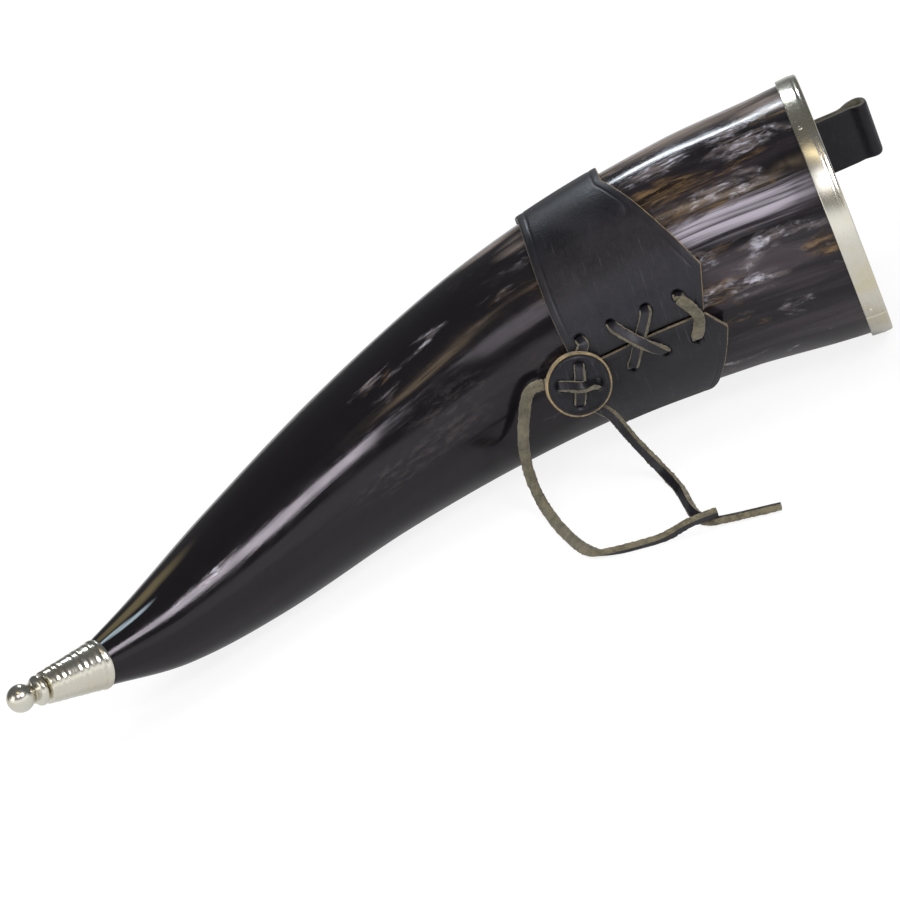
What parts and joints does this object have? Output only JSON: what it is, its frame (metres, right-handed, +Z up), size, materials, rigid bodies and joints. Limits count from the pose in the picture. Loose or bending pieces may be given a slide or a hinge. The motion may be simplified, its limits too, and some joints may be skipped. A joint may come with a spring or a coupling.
{
  "type": "drinking horn",
  "caption": "Curved polished drinking horn with a metal rim and tip knob, in a laced leather holder whose strap loop takes a belt.",
  "frame": {"origin": "on the ground, under the middle of the lying horn without its lace ends", "axes": "+X towards the mouth, +Y towards the belt loop, +Z up from the ground that the horn lies on"},
  "size_m": [0.2826, 0.1741, 0.0821],
  "materials": {
    "polished_horn": "polished natural horn, near black with pale and brown streaks",
    "nickel": "polished nickel, slightly warm",
    "black_leather": "smooth black leather with raw tan edges",
    "lace_leather": "black lace with a grey-olive flesh side"
  },
  "bodies": {
    "horn": {"horn_body": "polished_horn", "rim_band": "nickel", "rim_pin_1": "nickel", "rim_pin_2": "nickel", "rim_pin_3": "nickel", "rim_pin_4": "nickel", "tip_ferrule": "nickel", "finial_knob": "nickel"},
    "holder": {"holder_wrap": "black_leather", "holder_lace": "lace_leather", "holder_button": "black_leather", "lace_tail_1": "lace_leather", "lace_tail_2": "lace_leather", "belt_loop_tab_inner": "black_leather", "belt_loop_tab_outer": "black_leather", "belt_rivet_1": "nickel", "belt_rivet_2": "nickel"},
    "belt_loop": {"belt_loop": "black_leather"}
  },
  "joints": [
    {"name": "holder_draw", "type": "slide", "parent": "horn", "child": "holder", "axis": [-0.9848, -0.1631, -0.0594], "range_m": [0, 0.012]},
    {"name": "belt_loop_swing", "type": "hinge", "parent": "holder", "child": "belt_loop", "pos_m": [0.05748, 0.07358, 0.03749], "axis": [-0.0499, 0.0094, 0.9987], "range_deg": [0, 60]}
  ]
}
